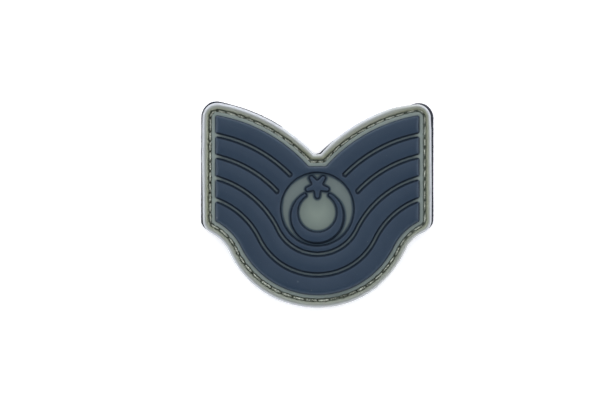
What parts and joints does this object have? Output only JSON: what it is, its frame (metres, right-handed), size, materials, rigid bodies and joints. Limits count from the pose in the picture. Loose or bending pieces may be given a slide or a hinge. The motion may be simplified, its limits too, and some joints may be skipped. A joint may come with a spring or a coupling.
{
  "type": "pvc rank patch",
  "caption": "Soft moulded chevron rank patch with raised stripes, a crescent and star in a round window, and a hook tape backing.",
  "frame": {"origin": "on the flat of the hooks at the back, under the middle of the round emblem window", "axes": "+Z out of the face, +Y towards the notch, +X to the right of the face as seen"},
  "size_m": [0.0748, 0.0662, 0.0047],
  "materials": {
    "grey_green_moulding": "soft matte moulding",
    "navy_moulding": "soft matte moulding",
    "woven_tape": "woven nylon",
    "hook_pile": "stiff nylon hooks",
    "stitch_thread": "twisted sewing thread"
  },
  "bodies": {
    "root": {"hook_field": "hook_pile", "backing": "woven_tape", "base": "grey_green_moulding", "upper_field": "navy_moulding", "middle_band": "navy_moulding", "lower_band": "navy_moulding", "crescent": "navy_moulding", "star": "navy_moulding"}
  },
  "joints": []
}
